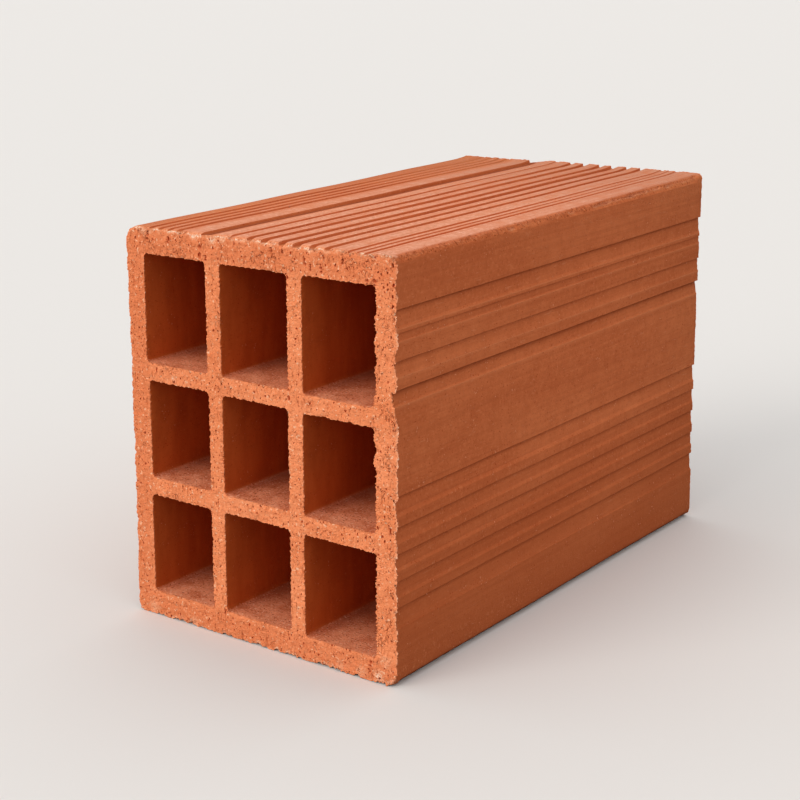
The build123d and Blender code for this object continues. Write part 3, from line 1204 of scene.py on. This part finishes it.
def clay_material():
    material = bpy.data.materials.new("fired_clay")
    material.use_nodes = True
    clay = ClaySheet(material.node_tree)
    shader = material.node_tree.nodes["Principled BSDF"]
    skin = top_dust_and_sheen(clay, die_skin(clay))
    skin = clay.mix(clay.ramp(clay.cell, 0.0, 0.05), skin, cell_walls(clay))
    colour = clay.mix(clay.cut, skin, cut_face(clay))
    clay.link(grains_and_pits(clay, colour), shader.inputs["Base Color"])
    shader.inputs["Roughness"].default_value = 0.85
    shader.inputs["Specular IOR Level"].default_value = 0.05
    bump = clay.add("Bump")
    bump.inputs["Strength"].default_value = 1.0
    bump.inputs["Distance"].default_value = BUMP_DEPTH
    clay.link(fine_relief(clay), bump.inputs["Height"])
    clay.link(bump.outputs["Normal"], shader.inputs["Normal"])
    return material


def seen_directly(sheet):
    """One for rays that show a surface as such, and zero for those that only light others."""
    path = sheet.add("LightPath")
    direct = sheet.most(path.outputs["Is Camera Ray"], path.outputs["Is Glossy Ray"])
    return sheet.most(direct, path.outputs["Is Transmission Ray"])


def build_floor():
    mesh = bpy.data.meshes.new("floor")
    signs = ((-1, -1), (1, -1), (1, 1), (-1, 1))
    corners = [(x * FLOOR_REACH, y * FLOOR_REACH, 0) for x, y in signs]
    mesh.from_pydata(corners, [], [(0, 1, 2, 3)])
    floor = add_object("floor", mesh)
    floor.location.z = FLOOR_LEVEL
    material = bpy.data.materials.new("floor_paint")
    material.use_nodes = True
    sheet = NodeSheet(material.node_tree)
    shader = material.node_tree.nodes["Principled BSDF"]
    shade = sheet.mix(seen_directly(sheet), FLOOR_BOUNCE, FLOOR_COLOUR)
    sheet.link(shade, shader.inputs["Base Color"])
    shader.inputs["Roughness"].default_value = 0.9
    mesh.materials.append(material)


def add_sun(name, azimuth, elevation, spread, strength, colour):
    """A soft distant lamp. Azimuth 0 is in front of the brick and 90 is to its right."""
    light = bpy.data.lights.new(name, "SUN")
    light.angle = math.radians(spread)
    light.energy = strength
    light.color = colour
    a, e = math.radians(azimuth), math.radians(elevation)
    toward = Vector((math.sin(a) * math.cos(e), -math.cos(a) * math.cos(e), math.sin(e)))
    add_object(name, light).rotation_euler = toward.to_track_quat("Z", "Y").to_euler()


def build_world():
    world = bpy.data.worlds.new("studio")
    world.use_nodes = True
    bpy.context.scene.world = world
    sheet = NodeSheet(world.node_tree)
    lit = world.node_tree.nodes["Background"]
    lit.inputs["Color"].default_value = (1.0, 0.98, 0.96, 1.0)
    lit.inputs["Strength"].default_value = 0.85
    seen = sheet.add("Background")
    seen.inputs["Color"].default_value = (1.0, 1.0, 1.0, 1.0)
    mixed = sheet.add("MixShader")
    sheet.link(seen_directly(sheet), mixed.inputs[0])
    sheet.link(lit.outputs[0], mixed.inputs[1])
    sheet.link(seen.outputs[0], mixed.inputs[2])
    sheet.link(mixed.outputs[0], world.node_tree.nodes["World Output"].inputs["Surface"])


def build_camera():
    """The photograph's view, with the shift that its off-centre framing has.

    The lens is in millimetres, and the distances are in metres from the middle of the brick.
    """
    azimuth = math.radians(38.88)
    elevation = math.radians(13.18)
    roll = math.radians(-0.87)
    distance, aside, above = 0.882281, -0.070172, 0.02685
    back = Vector((
        math.sin(azimuth) * math.cos(elevation),
        -math.cos(azimuth) * math.cos(elevation),
        math.sin(elevation),
    ))
    level_right = Vector((math.cos(azimuth), math.sin(azimuth), 0.0))
    level_up = back.cross(level_right)
    right = math.cos(roll) * level_right + math.sin(roll) * level_up
    up = math.cos(roll) * level_up - math.sin(roll) * level_right
    centre = Vector((0.0, 0.0, HEIGHT * MM / 2))
    eye = centre + back * distance + right * aside + up * above
    data = bpy.data.cameras.new("camera")
    data.sensor_width = 36.0
    data.lens = 78.2
    data.shift_x = 0.1314
    data.shift_y = -0.0884
    camera = add_object("camera", data)
    turn = Matrix((right, up, back)).transposed()
    camera.matrix_world = Matrix.Translation(eye) @ turn.to_4x4()
    bpy.context.scene.camera = camera


brick_body = build_brick(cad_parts["brick"])
brick_body.data.materials.append(clay_material())
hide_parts("brick")
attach(brick_body, "root")

build_floor()
build_world()
add_sun(
    "key", azimuth=-16, elevation=17, spread=45, strength=1.94, colour=(1.0, 0.95, 0.88)
)
build_camera()
bpy.context.scene.view_settings.view_transform = "Standard"
